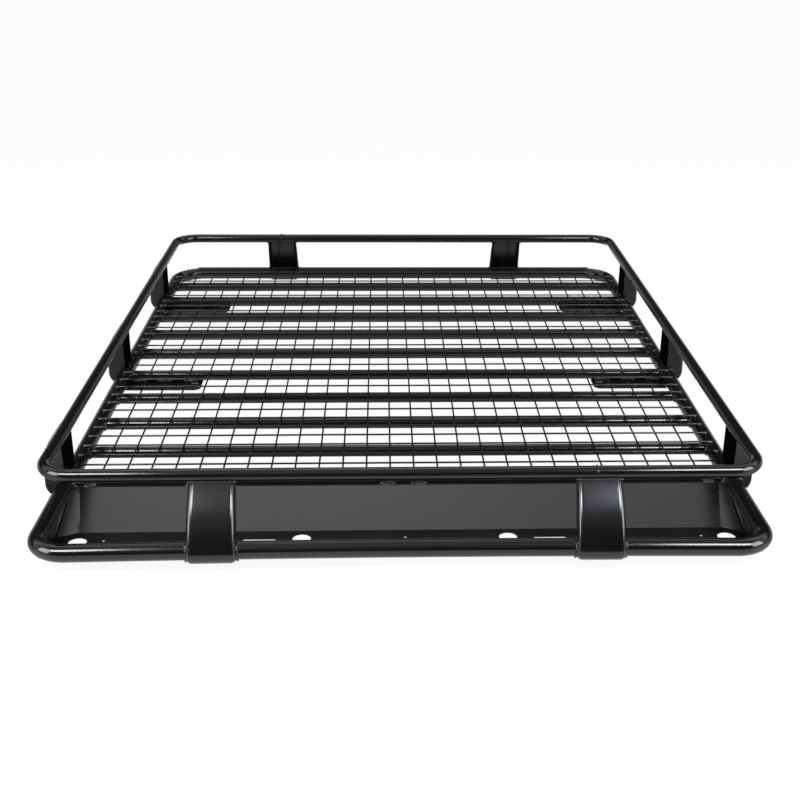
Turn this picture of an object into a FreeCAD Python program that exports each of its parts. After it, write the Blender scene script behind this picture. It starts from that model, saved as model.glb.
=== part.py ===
import FreeCAD, Part
import Sketcher
import math
import os
from FreeCAD import Vector, Placement, Rotation

# Steel roof cargo basket for a four-wheel-drive vehicle.
# Frame: +X to the basket's right, +Y to its rear, +Z up, millimetres.
# Origin: middle of the basket in X and Y, at the level of its lowest face
# (the underside of the deflector pan's floor).

doc = FreeCAD.newDocument("RoofCargoBasket")

# ---------------------------------------------------------------- sizes
# alias, value, what it is
SIZES = [
    ("frame_half_width", 693.5, "lower frame tube, centre line to the middle"),
    ("frame_half_length", 925.0, "lower frame tube, centre line to the middle"),
    ("frame_tube_dia", 34.9, "lower frame tube outside diameter"),
    ("frame_tube_wall", 2.0, "lower frame tube wall"),
    ("frame_level", 41.15, "lower frame tube centre height"),
    ("frame_front_bend", 62.5, "centre-line bend radius of the front corners"),
    ("frame_rear_bend", 90.0, "centre-line bend radius of the rear corners"),
    ("frame_front_bow", 7.5, "the front run bows back by this much at the middle"),
    ("rail_half_width", 683.4, "upper rail centre line to the middle"),
    ("rail_front", 865.3, "upper rail front centre line, in front of the middle"),
    ("rail_rear", 875.1, "upper rail rear centre line, behind the middle"),
    ("rail_tube_dia", 25.4, "upper rail outside diameter"),
    ("rail_tube_wall", 1.6, "upper rail wall"),
    ("rail_level", 170.4, "upper rail centre height"),
    ("rail_bend", 63.0, "upper rail centre-line bend radius"),
    ("joint_front", 365.0, "butt joint of the tubes at the front, right of the middle"),
    ("joint_rear", 357.0, "butt joint of the tubes at the rear, left of the middle"),
    ("joint_gap", 0.4, "root gap of the butt joints, filled by weld"),
    ("bar_dia", 25.4, "crossbar outside diameter"),
    ("bar_wall", 1.6, "crossbar wall"),
    ("bar_level", 41.65, "crossbar centre height"),
    ("bar_front", 630.5, "front crossbar, in front of the middle"),
    ("bar_second", 475.5, "second crossbar, in front of the middle"),
    ("bar_third", 319.5, "third crossbar, in front of the middle"),
    ("bar_fourth", 161.5, "fourth crossbar, in front of the middle"),
    ("bar_fifth", 4.5, "fifth crossbar, in front of the middle"),
    ("bar_sixth", 160.5, "sixth crossbar, behind the middle"),
    ("bar_seventh", 315.5, "seventh crossbar, behind the middle"),
    ("bar_eighth", 471.5, "eighth crossbar, behind the middle"),
    ("bar_ninth", 623.5, "ninth crossbar, behind the middle"),
    ("bar_last", 772.5, "rear crossbar, behind the middle"),
    ("bar_half_length", 684.0, "crossbar half length before coping"),
    ("bore_overrun", 10.0, "the cut for the bore runs past each crossbar end"),
    ("cope_dia", 35.2, "diameter of the coping cut at the crossbar ends"),
    ("wire_dia", 4.0, "mesh wire diameter"),
    ("wire_pitch", 50.0, "mesh pitch both ways"),
    ("cross_wire_level", 60.65, "height of the crosswise wires"),
    ("long_wire_level", 56.35, "height of the lengthwise wires"),
    ("wire_first_row", 630.5, "first crosswise wire, in front of the middle"),
    ("cross_wire_half", 691.0, "half length of the crosswise wires"),
    ("cross_wire_half_corner", 684.0, "half length of the last crosswise wire but one"),
    ("cross_wire_half_end", 632.0, "half length of the last crosswise wire"),
    ("long_wire_front", 642.5, "front end of the lengthwise wires"),
    ("long_wire_rear", 910.0, "rear end of the lengthwise wires"),
    ("long_wire_rear_edge", 862.0, "rear end of the two outermost lengthwise wires"),
    ("upright_low_width", 95.0, "upright width at the foot"),
    ("upright_top_width", 88.0, "upright width at the rail"),
    ("upright_sheet", 2.5, "upright sheet thickness"),
    ("upright_edge_radius", 12.0, "outside bend between web and flange"),
    ("upright_reach", 28.3, "end uprights: web outside face beyond the tube centre"),
    ("upright_foot_radius", 21.2, "end uprights: radius of the curled foot"),
    ("upright_foot_turn", 18.0, "end uprights: degrees the foot's curl runs past upright"),
    ("end_web_out", 7.0, "end uprights: web top outboard of the rail centre"),
    ("end_web_drop", 8.0, "end uprights: web top below the rail centre"),
    ("end_flange_in", 2.0, "end uprights: flange top inboard of the rail centre"),
    ("side_upright_reach", 39.0, "side uprights: web outside face beyond the tube centre"),
    ("side_upright_foot_radius", 30.0, "side uprights: radius of the curled foot"),
    ("side_web_straight", 48.0, "side uprights: web is straight to this far above the tube"),
    ("side_web_radius", 106.0, "side uprights: radius of the web above that"),
    ("side_web_drop", 4.0, "side uprights: web top below the rail centre"),
    ("upright_foot_drop", 20.6, "foot outside face below the frame tube centre"),
    ("upright_inner_edge", 2.2, "side flange top inboard of the frame tube centre"),
    ("upright_foot_extra", 1.0, "flange edge at the foot, this much further inboard"),
    ("flange_straight", 22.5, "flange edge is straight to this far above the tube centre"),
    ("tube_notch", 0.15, "radial clearance of the tube notches"),
    ("front_upright_left_x", 359.5, "front left upright from the middle"),
    ("front_upright_right_x", 368.5, "front right upright from the middle"),
    ("rear_upright_x", 357.0, "rear uprights each side of the middle"),
    ("side_upright_front", 612.5, "front pair of side uprights, in front of the middle"),
    ("side_upright_middle", 28.5, "middle pair of side uprights, behind the middle"),
    ("side_upright_rear", 641.5, "rear pair of side uprights, behind the middle"),
    ("plate_inner", 496.5, "mounting plate inner end from the middle"),
    ("plate_outer", 680.6, "mounting plate outer end from the middle"),
    ("plate_width", 81.0, "mounting plate width along the basket"),
    ("plate_thick", 4.0, "mounting plate thickness"),
    ("plate_level", 24.9, "mounting plate underside height"),
    ("plate_front_y", 26.0, "front mounting plates, in front of the middle"),
    ("plate_rear_y", 602.0, "rear mounting plates, behind the middle"),
    ("plate_corner", 18.0, "rounded inner corners of the plates"),
    ("plate_slot_x", 515.0, "slot centre from the middle"),
    ("plate_slot_length", 24.0, "slot length over its round ends"),
    ("plate_slot_width", 11.0, "slot width"),
    ("pan_sheet", 2.0, "deflector sheet thickness"),
    ("pan_half_width", 684.0, "deflector half width at the floor"),
    ("pan_top_half", 664.0, "deflector half width at the slope's top"),
    ("pan_fold_half", 640.0, "deflector half width at the slope's foot"),
    ("pan_corner_y", 793.5, "floor reaches full width, in front of the middle"),
    ("pan_shift", 3.0, "holes of the pan floor, shifted to the right of the middle"),
    ("pan_outer_y", 810.0, "outer wiring holes, in front of the middle"),
    ("pan_inner_y", 802.4, "inner wiring holes, in front of the middle"),
    ("pan_small_y", 804.9, "outer small holes, in front of the middle"),
    ("pan_mid_y", 800.2, "middle small hole, in front of the middle"),
    ("pan_slot_y", 808.8, "lamp slots, in front of the middle"),
    ("pan_hole_dia", 36.0, "wiring holes in the pan floor"),
    ("pan_hole_outer_x", 638.0, "outer wiring holes each side of the middle"),
    ("pan_hole_inner_x", 203.5, "inner wiring holes each side of the middle"),
    ("pan_small_dia", 6.5, "small fixing holes in the pan floor"),
    ("pan_small_x", 588.7, "outer small holes each side of the middle"),
    ("pan_slot_x", 286.0, "lamp slots each side of the middle"),
    ("pan_slot_length", 66.0, "lamp slot length over its round ends"),
    ("pan_slot_width", 11.0, "lamp slot width"),
    ("tab_width", 30.0, "deflector tab width"),
    ("tab_depth", 6.5, "tab reach from the slope's edge to the front crossbar"),
    ("tab_rise", 2.2, "rise of the tab over its reach, in line with the slope"),
    ("tab_thick", 2.0, "deflector tab thickness"),
    ("tab_gap", 0.1, "gap between the tabs and the front crossbar"),
    ("tab_drop", 0.75, "tab's lower front edge below the crossbar centre"),
    ("tab_left_x", 30.5, "left deflector tab from the middle"),
    ("tab_right_x", 34.5, "right deflector tab from the middle"),
    ("bow_radius",
     "=((frame_half_width - frame_front_bend)^2 + frame_front_bow^2)"
     " / (2 * frame_front_bow) - frame_front_bend",
     "radius of the front run that gives the bow, tangent to the corner bends"),
    ("joint_front_y",
     "=frame_half_length - frame_front_bow + bow_radius"
     " - sqrt(bow_radius^2 - joint_front^2)",
     "front butt joint of the frame tube, in front of the middle"),
]
sheet = doc.addObject("Spreadsheet::Sheet", "Sizes")
for row, (alias, content, note) in enumerate(SIZES, start=1):
    sheet.set("A%d" % row, note)
    sheet.setAlias("B%d" % row, alias)
    sheet.set("B%d" % row, str(content))
    # a formula needs the rows above it worked out
    doc.recompute()


def size(name):
    return float(getattr(sheet, name))


pieces = []
rail_rise = size("rail_level") - size("frame_level")


# ---------------------------------------------------------------- sketch helpers
def sketch_on(body, name, role, offset=None):
    """Sketch on an origin plane of the body, moved along its normal by an expression."""
    sketch = body.newObject("Sketcher::SketchObject", name)
    origin_plane = next(f for f in body.Origin.OriginFeatures if f.Role == role)
    sketch.AttachmentSupport = [(origin_plane, "")]
    sketch.MapMode = "FlatFace"
    if offset is not None:
        sketch.setExpression("AttachmentOffset.Base.z", offset)
    return sketch


def bind(sketch, constraint, expression):
    index = sketch.addConstraint(constraint)
    sketch.setExpression("Constraints[%d]" % index, expression)


def bind_radius(sketch, geo, radius, expression):
    bind(sketch, Sketcher.Constraint("Radius", geo, radius), expression)


def bind_from_origin(sketch, axis, geo, point, value, expression):
    """Bind a point's distance from the origin along "X" or "Y", on the side value is on."""
    ends = (-1, 1, geo, point) if value >= 0 else (geo, point, -1, 1)
    bind(sketch, Sketcher.Constraint("Distance" + axis, *ends, abs(value)), expression)


def arc_through(first, middle, last):
    """Circular arc through three points, always counter-clockwise about +Z."""
    if (middle - first).cross(last - middle).z < 0:
        first, last = last, first
    return Part.Arc(first, middle, last)


def end_at(sketch, geo, point):
    """1 if the start of the geometry is the nearer end to the point, otherwise 2."""
    shape = sketch.Geometry[geo]
    return 1 if (shape.StartPoint - point).Length < (shape.EndPoint - point).Length else 2


def join_tangent(sketch, joints):
    for first, second, point in joints:
        sketch.addConstraint(Sketcher.Constraint(
            "Tangent", first, end_at(sketch, first, point),
            second, end_at(sketch, second, point)))


def closed_outline(sketch, points):
    first = sketch.GeometryCount
    count = len(points)
    for i in range(count):
        sketch.addGeometry(Part.LineSegment(points[i], points[(i + 1) % count]))
    for i in range(count):
        sketch.addConstraint(Sketcher.Constraint(
            "Coincident", first + i, 2, first + (i + 1) % count, 1))


def slot_outline(sketch, side, prefix, y, y_cell, shift=0.0, shift_expression=""):
    """Slot along X with round ends; prefix names its _x, _length and _width cells."""
    radius = size(prefix + "_width") / 2
    half_run = size(prefix + "_length") / 2 - radius
    centre_x = side * size(prefix + "_x") + shift
    left = Vector(centre_x - half_run, y, 0)
    right = Vector(centre_x + half_run, y, 0)
    up = Vector(0, radius, 0)
    out = Vector(radius, 0, 0)
    left_arc = sketch.GeometryCount
    bottom, right_arc, top = left_arc + 1, left_arc + 2, left_arc + 3
    sketch.addGeometry(Part.Arc(left + up, left - out, left - up))
    sketch.addGeometry(Part.LineSegment(left - up, right - up))
    sketch.addGeometry(Part.Arc(right - up, right + out, right + up))
    sketch.addGeometry(Part.LineSegment(right + up, left + up))
    join_tangent(sketch, [
        (left_arc, bottom, left - up), (bottom, right_arc, right - up),
        (right_arc, top, right + up), (top, left_arc, left + up)])
    bind_radius(sketch, left_arc, radius, "Sizes.%s_width / 2" % prefix)
    centre = "Sizes.%s_x%s" % (prefix, shift_expression)
    run = "(Sizes.%s_length - Sizes.%s_width) / 2" % (prefix, prefix)
    for arc, end, sign in ((left_arc, left, -side), (right_arc, right, side)):
        bind_from_origin(sketch, "Y", arc, 3, y, "Sizes." + y_cell)
        bind_from_origin(sketch, "X", arc, 3, end.x,
                         "%s %s %s" % (centre, "+" if sign > 0 else "-", run))


def cut_through(body, name, sketch):
    pocket = body.newObject("PartDesign::Pocket", name)
    pocket.Profile = sketch
    pocket.Type = "ThroughAll"
    pocket.Midplane = True
    body.Tip = pocket
    doc.recompute()


# ---------------------------------------------------------------- bent tubes
# The sheet cells of each ring. "start" is the y of the front joint.
FRAME = {
    "half_width": "frame_half_width", "front": "frame_half_length",
    "rear": "frame_half_length", "start": "joint_front_y", "level": "frame_level",
    "front_bend": "frame_front_bend", "rear_bend": "frame_rear_bend",
    "dia": "frame_tube_dia", "wall": "frame_tube_wall",
}
RAIL = {
    "half_width": "rail_half_width", "front": "rail_front",
    "rear": "rail_rear", "start": "rail_front", "level": "rail_level",
    "front_bend": "rail_bend", "rear_bend": "rail_bend",
    "dia": "rail_tube_dia", "wall": "rail_tube_wall",
}


def bow_y(x):
    """Centre line of the frame tube's bowed front run."""
    radius = size("bow_radius")
    middle_y = -size("frame_half_length") + size("frame_front_bow")
    return middle_y - radius + math.sqrt(radius ** 2 - x ** 2)


def tube_path(body, label, side, cells, bowed, start_x, start_expression):
    """Centre line: front run, front bend, side run, rear bend, rear run."""
    half_width = size(cells["half_width"])
    front, rear = -size(cells["front"]), size(cells["rear"])
    front_bend, rear_bend = size(cells["front_bend"]), size(cells["rear_bend"])
    end_x = -size("joint_rear") + side * size("joint_gap") / 2
    diagonal = math.sqrt(0.5)

    front_bend_x = half_width - front_bend
    rear_bend_x = half_width - rear_bend
    side_front = Vector(side * half_width, front + front_bend, 0)
    side_rear = Vector(side * half_width, rear - rear_bend, 0)
    rear_meet = Vector(side * rear_bend_x, rear, 0)
    if bowed:
        bow_radius = size("bow_radius")
        # the bow and the corner bend touch on the line through their centres
        meet_x = side * bow_radius * front_bend_x / (bow_radius + front_bend)
        front_meet = Vector(meet_x, bow_y(meet_x), 0)
        middle_x = (start_x + meet_x) / 2
        front_run = arc_through(Vector(start_x, bow_y(start_x), 0),
                                Vector(middle_x, bow_y(middle_x), 0), front_meet)
        start = Vector(start_x, bow_y(start_x), 0)
    else:
        front_meet = Vector(side * front_bend_x, front, 0)
        start = Vector(start_x, front, 0)
        front_run = Part.LineSegment(start, front_meet)
    front_bend_middle = Vector(side * (front_bend_x + front_bend * diagonal),
                               front + front_bend * (1 - diagonal), 0)
    rear_bend_middle = Vector(side * (rear_bend_x + rear_bend * diagonal),
                              rear - rear_bend * (1 - diagonal), 0)

    path = sketch_on(body, label + "_path", "XY_Plane", "Sizes." + cells["level"])
    path.addGeometry(front_run)
    path.addGeometry(arc_through(front_meet, front_bend_middle, side_front))
    path.addGeometry(Part.LineSegment(side_front, side_rear))
    path.addGeometry(arc_through(side_rear, rear_bend_middle, rear_meet))
    path.addGeometry(Part.LineSegment(rear_meet, Vector(end_x, rear, 0)))
    join_tangent(path, [(0, 1, front_meet), (1, 2, side_front),
                        (2, 3, side_rear), (3, 4, rear_meet)])
    if bowed:
        path.addConstraint(Sketcher.Constraint("PointOnObject", 0, 3, -2))
        bind_radius(path, 0, bow_radius, "Sizes.bow_radius")
    else:
        path.addConstraint(Sketcher.Constraint("Horizontal", 0))
    path.addConstraint(Sketcher.Constraint("Vertical", 2))
    path.addConstraint(Sketcher.Constraint("Horizontal", 4))
    bind_radius(path, 1, front_bend, "Sizes." + cells["front_bend"])
    bind_radius(path, 3, rear_bend, "Sizes." + cells["rear_bend"])
    bind_from_origin(path, "Y", 1, 3, front + front_bend,
                     "Sizes.%s - Sizes.%s" % (cells["front"], cells["front_bend"]))
    bind_from_origin(path, "X", 0, end_at(path, 0, start), start_x, start_expression)
    bind_from_origin(path, "X", 2, 1, side * half_width, "Sizes." + cells["half_width"])
    bind_from_origin(path, "Y", 4, 2, rear, "Sizes." + cells["rear"])
    bind_from_origin(path, "X", 4, 2, end_x,
                     "Sizes.joint_rear %s Sizes.joint_gap / 2" % ("-" if side > 0 else "+"))
    return path


def tube_section(body, label, cells, start_expression):
    """Two circles round the path's start at the front joint."""
    section = sketch_on(body, label + "_section", "YZ_Plane", start_expression)
    y, level = -size(cells["start"]), size(cells["level"])
    outer = size(cells["dia"]) / 2
    outer_expression = "Sizes.%s / 2" % cells["dia"]
    for radius, expression in (
            (outer, outer_expression),
            (outer - size(cells["wall"]), outer_expression + " - Sizes." + cells["wall"])):
        circle = section.addGeometry(
            Part.Circle(Vector(y, level, 0), Vector(0, 0, 1), radius))
        bind_radius(section, circle, radius, expression)
        bind_from_origin(section, "X", circle, 3, y, "Sizes." + cells["start"])
        bind_from_origin(section, "Y", circle, 3, level, "Sizes." + cells["level"])
    return section


def bent_half(label, side, cells, bowed):
    """Half of a ring, from the front butt joint round one side to the rear joint.

    side is +1 for the right half and -1 for the left.
    """
    start_x = size("joint_front") + side * size("joint_gap") / 2
    start_expression = ("Sizes.joint_front %s Sizes.joint_gap / 2"
                        % ("+" if side > 0 else "-"))
    body = doc.addObject("PartDesign::Body", label)
    path = tube_path(body, label, side, cells, bowed, start_x, start_expression)
    section = tube_section(body, label, cells, start_expression)
    doc.recompute()
    pipe = body.newObject("PartDesign::AdditivePipe", label + "_pipe")
    pipe.Profile = (section, [""])
    pipe.Spine = (path, ["Edge1", "Edge2", "Edge3", "Edge4", "Edge5"])
    pipe.Mode = "Standard"
    body.Tip = pipe
    doc.recompute()
    pieces.append(body)


for name, cells, bowed in (("lower_frame_tube", FRAME, True), ("upper_rail_tube", RAIL, False)):
    bent_half(name + "_right", 1, cells, bowed)
    bent_half(name + "_left", -1, cells, bowed)

# ---------------------------------------------------------------- crossbars
# Ten straight tubes under the mesh, their ends coped to the side tubes.
ALONG_X = Rotation(Vector(0, 1, 0), 90)
ALONG_Y = Rotation(Vector(1, 0, 0), -90)


def rod(name, direction, radius, length, x, y, z):
    """Cylinder whose sizes and start point are expressions."""
    cylinder = doc.addObject("Part::Cylinder", name)
    cylinder.Placement = Placement(Vector(0, 0, 0), direction)
    cylinder.setExpression("Radius", radius)
    cylinder.setExpression("Height", length)
    cylinder.setExpression("Placement.Base.x", x)
    cylinder.setExpression("Placement.Base.y", y)
    cylinder.setExpression("Placement.Base.z", z)
    return cylinder


def crossbar(name, y, cope_tools):
    outside = rod(name + "_outside", ALONG_X,
                  radius="Sizes.bar_dia / 2",
                  length="2 * Sizes.bar_half_length",
                  x="-Sizes.bar_half_length", y=y, z="Sizes.bar_level")
    bore = rod(name + "_bore", ALONG_X,
               radius="Sizes.bar_dia / 2 - Sizes.bar_wall",
               length="2 * Sizes.bar_half_length + 2 * Sizes.bore_overrun",
               x="-Sizes.bar_half_length - Sizes.bore_overrun", y=y, z="Sizes.bar_level")
    cuts = doc.addObject("Part::Compound", name + "_cuts")
    cuts.Links = [bore] + cope_tools
    bar = doc.addObject("Part::Cut", name)
    bar.Base = outside
    bar.Tool = cuts
    pieces.append(bar)


copes = [
    rod("cope_" + tag, ALONG_Y,
        radius="Sizes.cope_dia / 2",
        length="2 * Sizes.frame_half_length",
        x=sign + "Sizes.frame_half_width",
        y="-Sizes.frame_half_length", z="Sizes.frame_level")
    for tag, sign in (("left", "-"), ("right", ""))
]
# name ending, y
CROSSBARS = [
    ("front", "-Sizes.bar_front"), ("2", "-Sizes.bar_second"), ("3", "-Sizes.bar_third"),
    ("4", "-Sizes.bar_fourth"), ("5", "-Sizes.bar_fifth"), ("6", "Sizes.bar_sixth"),
    ("7", "Sizes.bar_seventh"), ("8", "Sizes.bar_eighth"), ("9", "Sizes.bar_ninth"),
    ("rear", "Sizes.bar_last"),
]
for tag, y in CROSSBARS:
    crossbar("crossbar_" + tag, y, copes)

# ---------------------------------------------------------------- wire mesh
# Round wires on a square pitch: lengthwise wires lie on the crossbars, crosswise
# wires lie over them and end over the side tubes of the frame.
CROSS_WIRE_COUNT = 32
LONG_WIRE_COUNT = 28


def cross_wire(row):
    # the last two rows are shortened to stay within the rear corner bends
    half = {CROSS_WIRE_COUNT - 2: "Sizes.cross_wire_half_corner",
            CROSS_WIRE_COUNT - 1: "Sizes.cross_wire_half_end"}.get(row, "Sizes.cross_wire_half")
    return rod("cross_wire_%02d" % row, ALONG_X,
               radius="Sizes.wire_dia / 2", length="2 * " + half, x="-" + half,
               y="-Sizes.wire_first_row + %d * Sizes.wire_pitch" % row,
               z="Sizes.cross_wire_level")


def long_wire(column):
    outermost = column in (0, LONG_WIRE_COUNT - 1)
    rear = "Sizes.long_wire_rear_edge" if outermost else "Sizes.long_wire_rear"
    pitches_from_middle = column - (LONG_WIRE_COUNT - 1) / 2
    return rod("long_wire_%02d" % column, ALONG_Y,
               radius="Sizes.wire_dia / 2", length="Sizes.long_wire_front + " + rear,
               x="%s * Sizes.wire_pitch" % pitches_from_middle,
               y="-Sizes.long_wire_front", z="Sizes.long_wire_level")


for name, wire, count in (("mesh_cross_wires", cross_wire, CROSS_WIRE_COUNT),
                          ("mesh_long_wires", long_wire, LONG_WIRE_COUNT)):
    wires = [wire(number) for number in range(count)]
    mesh = doc.addObject("Part::Compound", name)
    mesh.Links = wires
    pieces.append(mesh)

# ---------------------------------------------------------------- uprights
# Each upright is a pressed channel. Its side profile is drawn with x outwards and z
# upwards from the centre of the frame tube. The web curls under the tube at the foot
# and leans in to the rail at the top; two flanges are notched over both tubes.
# The tools that cut the hollow and the taper run past the profile by these amounts.
HOLLOW_FOOT_OVERRUN = 30.0
HOLLOW_TOP_OVERRUN = 60.0
HOLLOW_INNER_X = -160.0
TAPER_BOTTOM_OVERRUN = 5.0
TAPER_TOP_OVERRUN = 70.0
TAPER_HALF_DEPTH = 200.0
NOTCH_HALF_LENGTH = 150.0
# The bends are found among edges near the web curve and close to the upright's sides.
BEND_DISTANCE = 0.05
BEND_SIDE_BAND = 8.0


def on_arc(centre, radius, angle):
    return Vector(centre.x + radius * math.cos(angle), 0, centre.z + radius * math.sin(angle))


def foot_edge_x():
    return -size("upright_inner_edge") - size("upright_foot_extra")


def web_foot(prefix, offset):
    """Flat run under the tube, with the centre and radius of the curl after it."""
    radius = size(prefix + "_foot_radius") - offset
    level = offset - size("upright_foot_drop")
    curl = Vector(size(prefix + "_reach") - offset - radius, 0, level + radius)
    start_x = foot_edge_x() - (HOLLOW_FOOT_OVERRUN if offset else 0.0)
    flat = Part.LineSegment(Vector(start_x, 0, level), Vector(curl.x, 0, level))
    return flat, curl, radius


def side_web(offset, inset):
    """Web face moved inwards by offset: a straight, then an arc to the rail's outside."""
    flat, curl, foot_radius = web_foot("side_upright", offset)
    curl_end = on_arc(curl, foot_radius, 0.0)
    straight_end = Vector(curl_end.x, 0, size("side_web_straight"))
    radius = size("side_web_radius") - offset
    centre = Vector(straight_end.x - radius, 0, straight_end.z)
    turn = math.asin((rail_rise - size("side_web_drop") - straight_end.z) / radius)
    return [
        flat,
        Part.Arc(flat.EndPoint, on_arc(curl, foot_radius, -math.pi / 4), curl_end),
        Part.LineSegment(curl_end, straight_end),
        Part.Arc(straight_end, on_arc(centre, radius, turn / 2), on_arc(centre, radius, turn)),
    ]


def end_web(offset, inset):
    """Web face moved inwards by offset: the foot's curl runs on past upright, then one
    large arc leans in to the underside of the rail."""
    flat, curl, foot_radius = web_foot("upright", offset)
    foot_turn = math.radians(size("upright_foot_turn"))
    curl_end = on_arc(curl, foot_radius, foot_turn)
    outer_start = on_arc(curl, size("upright_foot_radius"), foot_turn)
    contact = Vector(-inset + size("end_web_out"), 0, rail_rise - size("end_web_drop"))
    chord = contact - outer_start
    half_turn = math.atan2(-chord.x, chord.z) - foot_turn
    outer_radius = chord.Length / (2 * math.sin(half_turn))
    centre = on_arc(outer_start, -outer_radius, foot_turn)
    radius = outer_radius - offset
    last = math.asin((contact.z - centre.z) / radius)
    curl_middle = on_arc(curl, foot_radius, (foot_turn - math.pi / 2) / 2)
    return [
        flat,
        Part.Arc(flat.EndPoint, curl_middle, curl_end),
        Part.Arc(curl_end, on_arc(centre, radius, (foot_turn + last) / 2),
                 on_arc(centre, radius, last)),
    ]


def tapered_solid(curve, closing, half_low, half_top):
    """Profile of the web curve and closing points, its two sides nearing upwards."""
    loop = ([curve[-1].Vertexes[-1].Point] + closing + [curve[0].Vertexes[0].Point])
    edges = curve + [Part.makeLine(a, b) for a, b in zip(loop[:-1], loop[1:])]
    face = Part.Face(Part.Wire(Part.__sortEdges__(edges)))
    prism = face.extrude(Vector(0, 2 * half_low, 0))
    prism.translate(Vector(0, -half_low, 0))

    foot_z = -size("upright_foot_drop")
    taper = (half_low - half_top) / (rail_rise - foot_z)
    bottom, top = foot_z - TAPER_BOTTOM_OVERRUN, rail_rise + TAPER_TOP_OVERRUN
    half_bottom = half_low - taper * (bottom - foot_z)
    half_above = half_low - taper * (top - foot_z)
    corners = [Vector(-TAPER_HALF_DEPTH, y, z) for y, z in (
        (-half_bottom, bottom), (half_bottom, bottom), (half_above, top), (-half_above, top))]
    trapezium = Part.Face(Part.makePolygon(corners + [corners[0]]))
    return prism.common(trapezium.extrude(Vector(2 * TAPER_HALF_DEPTH, 0, 0)))


def round_bends(solid, curve, radius):
    """Round the two long bends between web and flanges."""
    bends = []
    for edge in solid.Edges:
        middle = (edge.FirstParameter + edge.LastParameter) / 2
        point = edge.valueAt(middle)
        if abs(point.y) < size("upright_top_width") / 2 - BEND_SIDE_BAND:
            continue
        in_profile = Part.Vertex(Vector(point.x, 0, point.z))
        near = any(part.distToShape(in_profile)[0] < BEND_DISTANCE for part in curve)
        if near and abs(edge.tangentAt(middle).y) < 0.5:
            bends.append(edge)
    return solid.makeFillet(radius, bends)


def notch_tool(radius, x, z):
    return Part.makeCylinder(radius + size("tube_notch"), 2 * NOTCH_HALF_LENGTH,
                             Vector(x, -NOTCH_HALF_LENGTH, z), Vector(0, 1, 0))


def upright(label, web, flange_top_x, inset, x, y, angle, turn=0.0):
    """Upright at x, y on the frame tube, its outside turned to angle about Z.

    inset is how far the rail's centre line stands inside the frame tube's, and turn
    the angle in degrees of the frame tube to the rail.
    """
    sheet_thick = size("upright_sheet")
    half_low, half_top = size("upright_low_width") / 2, size("upright_top_width") / 2
    bend = size("upright_edge_radius")

    curve = [part.toShape() for part in web(0.0, inset)]
    top_z = curve[-1].Vertexes[-1].Point.z
    flange_edge = [Vector(flange_top_x, 0, top_z),
                   Vector(foot_edge_x(), 0, size("flange_straight"))]
    outer = tapered_solid(curve, flange_edge, half_low, half_top)
    outer = round_bends(outer, curve, bend)

    curve = [part.toShape() for part in web(sheet_thick, inset)]
    start, end = curve[0].Vertexes[0].Point, curve[-1].Vertexes[-1].Point
    beyond = [Vector(end.x, 0, end.z + HOLLOW_TOP_OVERRUN),
              Vector(HOLLOW_INNER_X, 0, end.z + HOLLOW_TOP_OVERRUN),
              Vector(HOLLOW_INNER_X, 0, start.z)]
    hollow = tapered_solid(curve, beyond, half_low - sheet_thick, half_top - sheet_thick)
    hollow = round_bends(hollow, curve, bend - sheet_thick)

    # a turned upright needs a wider rail notch, because the rail crosses it at an angle
    wider = abs(math.sin(math.radians(turn))) * half_top
    shell = outer.cut(hollow)
    shell = shell.cut(notch_tool(size("frame_tube_dia") / 2, 0, 0))
    shell = shell.cut(notch_tool(size("rail_tube_dia") / 2 + wider, -inset, rail_rise))
    channel = doc.addObject("Part::Feature", label)
    channel.Shape = max(shell.Solids, key=lambda solid: solid.Volume)
    channel.Placement = Placement(Vector(x, y, size("frame_level")),
                                  Rotation(Vector(0, 0, 1), angle))
    pieces.append(channel)


def end_upright(label, x, y, inset, angle, turn=0.0):
    upright(label, end_web, -inset - size("end_flange_in"), inset, x, y, angle, turn)


def side_upright(label, side, y):
    upright(label, side_web, -size("upright_inner_edge"),
            size("frame_half_width") - size("rail_half_width"),
            side * size("frame_half_width"), y, 0 if side > 0 else 180)


for tag, side in (("left", -1), ("right", 1)):
    # the front run is bowed, so each front upright stands square to the tube where it is
    x = side * size("front_upright_%s_x" % tag)
    turn = -math.degrees(math.asin(x / size("bow_radius")))
    end_upright("front_upright_" + tag, x, bow_y(x),
                -bow_y(x) - size("rail_front"), -90 + turn, turn)
for tag, side in (("left", -1), ("right", 1)):
    end_upright("rear_upright_" + tag, side * size("rear_upright_x"),
                size("frame_half_length"), size("frame_half_length") - size("rail_rear"), 90)
for tag, sign in (("front", -1), ("middle", 1), ("rear", 1)):
    y = sign * size("side_upright_" + tag)
    side_upright("side_upright_left_" + tag, -1, y)
    side_upright("side_upright_right_" + tag, 1, y)


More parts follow.
